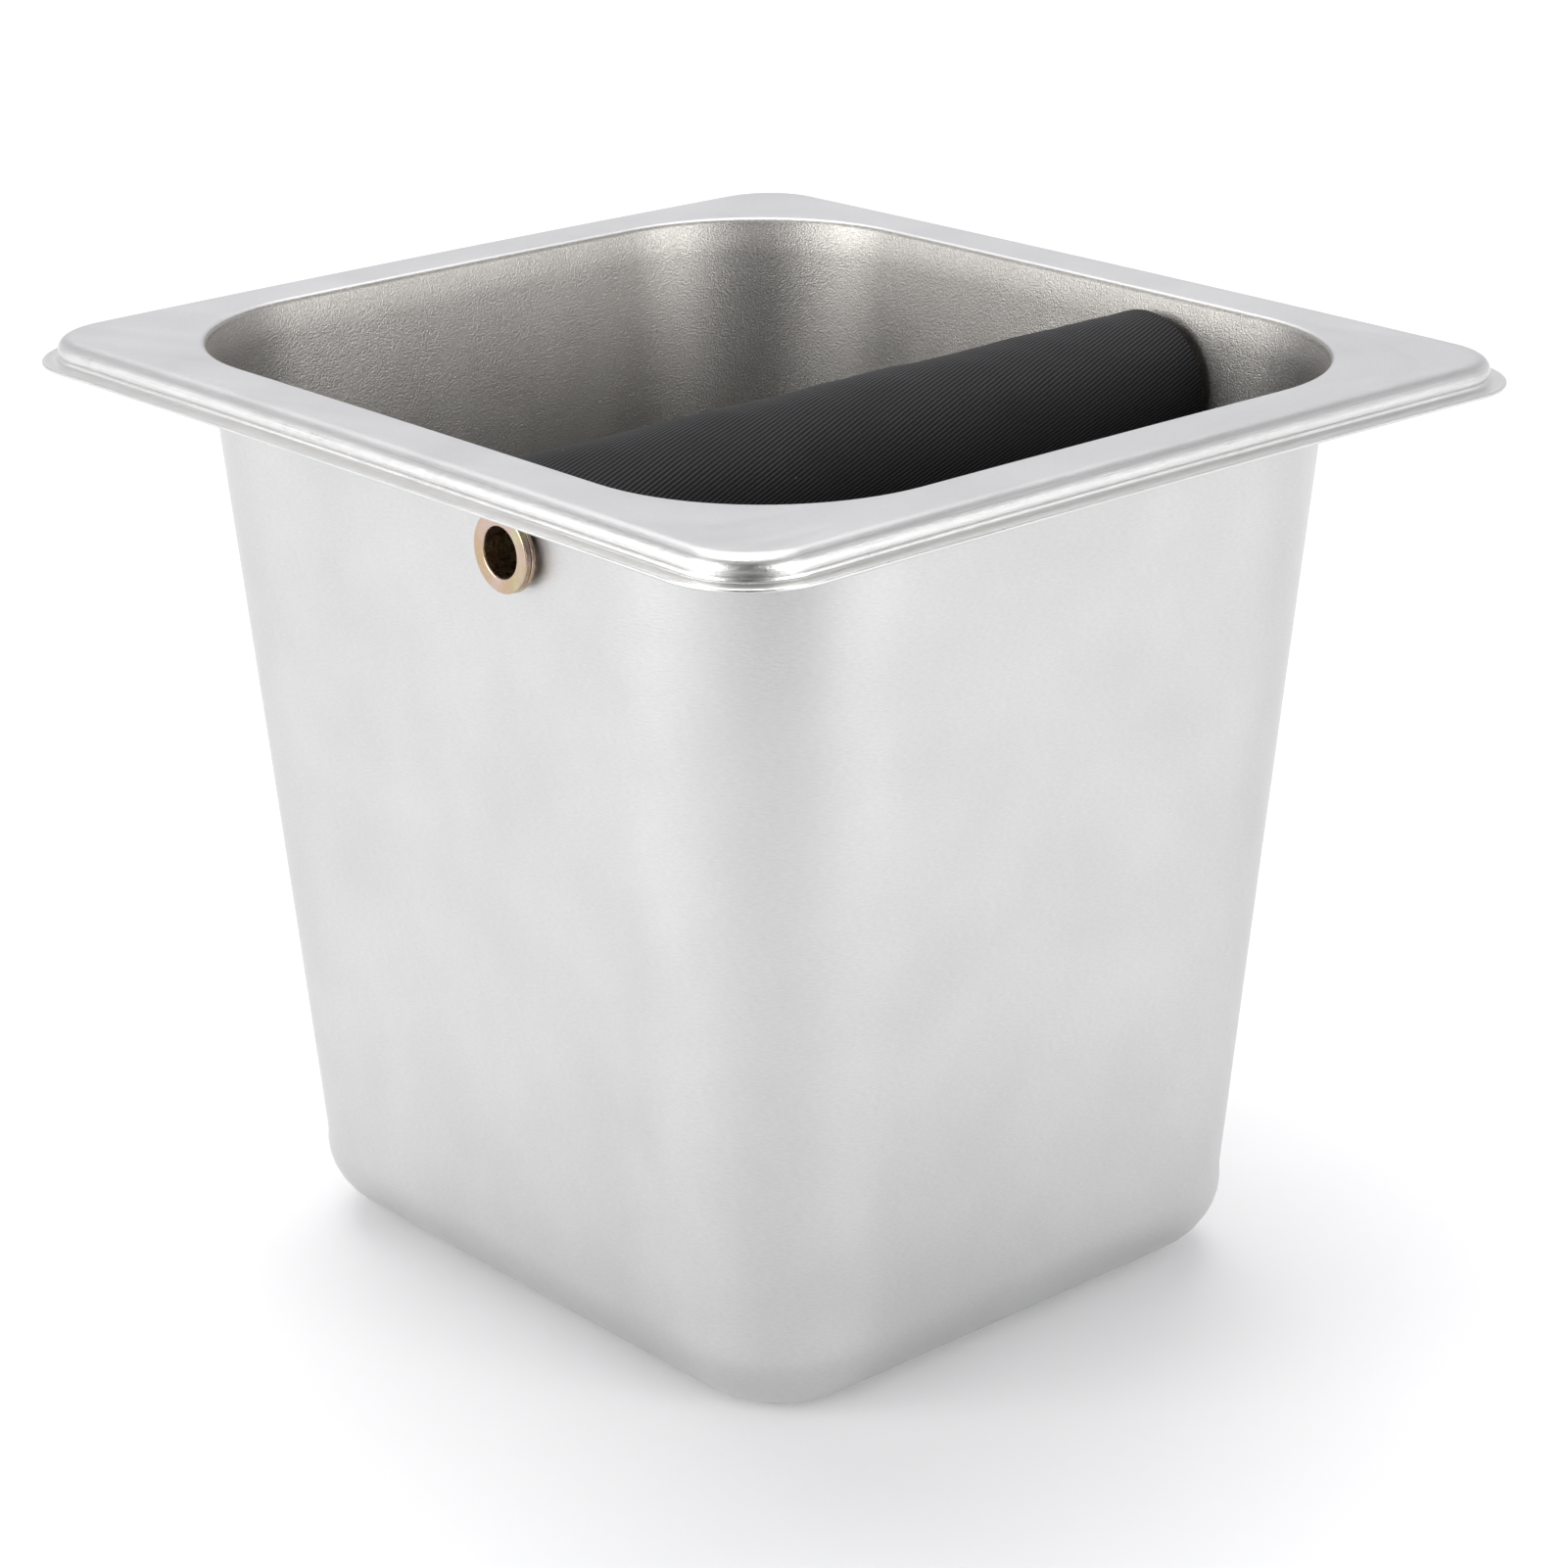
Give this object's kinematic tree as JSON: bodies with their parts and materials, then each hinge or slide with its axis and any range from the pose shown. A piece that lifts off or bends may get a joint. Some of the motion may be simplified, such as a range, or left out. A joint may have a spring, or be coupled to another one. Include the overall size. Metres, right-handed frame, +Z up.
{
  "type": "espresso knock box",
  "caption": "Deep-drawn stainless steel drop-in pan with a flat flanged rim and a rubber-sleeved knock bar turning on an axle across its mouth.",
  "frame": {"origin": "centre of the pan's flat underside", "axes": "+X along the knock bar across the pan's short side, +Y along its long side, +Z up"},
  "size_m": [0.162, 0.176, 0.15],
  "materials": {
    "pan_steel": "satin",
    "zinc_plate": "yellow zinc plated",
    "pipe_steel": "mill",
    "nylon": "moulded",
    "rubber": "cloth-marked matt"
  },
  "bodies": {
    "box": {"pan": "pan_steel", "axle_tube": "zinc_plate", "washer_left": "zinc_plate", "washer_right": "zinc_plate"},
    "knock_bar": {"rubber_sleeve": "rubber", "core_pipe": "pipe_steel", "bush_left": "nylon", "bush_right": "nylon"}
  },
  "joints": [
    {"name": "knock_bar_turn", "type": "hinge", "parent": "box", "child": "knock_bar", "pos_m": [0, -0.0215, 0.1353], "axis": [1, 0, 0], "continuous": true}
  ]
}
